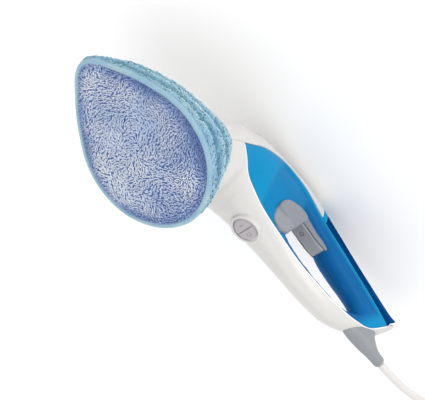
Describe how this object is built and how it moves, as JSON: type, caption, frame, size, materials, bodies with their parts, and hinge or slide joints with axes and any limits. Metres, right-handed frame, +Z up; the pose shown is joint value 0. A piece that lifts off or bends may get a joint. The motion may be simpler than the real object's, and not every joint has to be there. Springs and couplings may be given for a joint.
{
  "type": "handheld garment steamer",
  "caption": "Handheld garment steamer lying on its back, with a terry bonnet on its steam head, a loop handle with a trigger, a clip-in water tank along the back and a coiled mains cord.",
  "frame": {"origin": "centre of the flat land on the back cover, on which the steamer lies", "axes": "+X from the steam head to the cord end along the body, +Y across it, +Z up and away from the surface it lies on"},
  "size_m": [0.6039, 0.1734, 0.1406],
  "materials": {
    "terry_face": "looped terry, lavender blue with pale specks",
    "bonnet_cotton": "pale teal ribbed binding and terry skirt",
    "white_shell": "smooth satin white",
    "blue_shell": "glossy blue, cyan along the rim",
    "cyan_shell": "clear cyan",
    "navy_tank": "translucent navy",
    "light_grey": "satin light grey",
    "dark_grey": "satin mid grey",
    "rocker_grey": "satin warm grey",
    "boot_grey": "soft grey",
    "cast_aluminium": "cast and machined",
    "bright_steel": "bright",
    "plated_brass": "nickel plated",
    "copper_core": "coloured insulation",
    "black_rubber": "dark",
    "pale_plastic": "unpainted",
    "white_cord": "smooth white sheath",
    "white_plug": "smooth white"
  },
  "bodies": {
    "handset": {"bonnet_face": "terry_face", "bonnet_binding": "bonnet_cotton", "bonnet_skirt": "bonnet_cotton", "front_housing": "white_shell", "back_cover": "white_shell", "rocker_bezel": "white_shell", "left_grip_panel": "blue_shell", "right_grip_panel": "blue_shell", "tank_collar": "cyan_shell", "water_tank": "navy_tank", "trigger_hood": "light_grey", "sole_frame": "dark_grey", "cord_clamp": "dark_grey", "strain_relief": "boot_grey", "sole_plate": "cast_aluminium", "boiler_casting": "cast_aluminium", "boiler_lid": "cast_aluminium", "heat_shield": "cast_aluminium", "heating_element": "bright_steel", "dosing_nozzle": "bright_steel", "trigger_pin": "bright_steel", "filler_hinge_pin": "bright_steel", "pump_spring": "bright_steel", "panel_screw_1": "bright_steel", "panel_screw_2": "bright_steel", "panel_screw_3": "bright_steel", "plug_pin_1": "plated_brass", "plug_pin_2": "plated_brass", "live_wire": "copper_core", "neutral_wire": "copper_core", "heater_wire": "copper_core", "steam_gasket": "black_rubber", "cord_tie": "black_rubber", "thermostat": "pale_plastic", "thermal_fuse": "pale_plastic", "pump_cylinder": "pale_plastic", "suction_tube": "pale_plastic", "feed_tube": "pale_plastic", "terminal_block": "pale_plastic", "switch_body": "pale_plastic", "cord_lead_in": "white_cord", "power_cord": "white_cord", "cord_coil": "white_cord", "cord_tail": "white_cord", "plug_body": "white_plug"},
    "trigger": {"trigger": "dark_grey"},
    "pump_plunger": {"pump_piston": "light_grey"},
    "rocker": {"power_rocker": "rocker_grey"},
    "door": {"filler_door": "navy_tank", "filler_plug": "black_rubber"}
  },
  "joints": [
    {"name": "trigger_press", "type": "hinge", "parent": "handset", "child": "trigger", "pos_m": [0.02, 0, 0.039], "axis": [0, 1, 0], "range_deg": [0, 7], "stiffness_Nm_per_rad": 0.3},
    {"name": "pump_stroke", "type": "slide", "parent": "handset", "child": "pump_plunger", "axis": [0, 0, -1], "range_m": [0, 0.0024], "deforming": ["pump_spring"]},
    {"name": "rocker_tilt", "type": "hinge", "parent": "handset", "child": "rocker", "pos_m": [-0.019, 0, 0.095], "axis": [0, 1, 0], "range_deg": [-5, 5]},
    {"name": "door_swing", "type": "hinge", "parent": "handset", "child": "door", "pos_m": [0.144, 0, 0.0412], "axis": [0, -1, 0], "range_deg": [0, 50]}
  ],
  "couplings": [
    {"joint": "pump_stroke", "follows": "trigger_press", "m_per_rad": 0.0195}
  ]
}
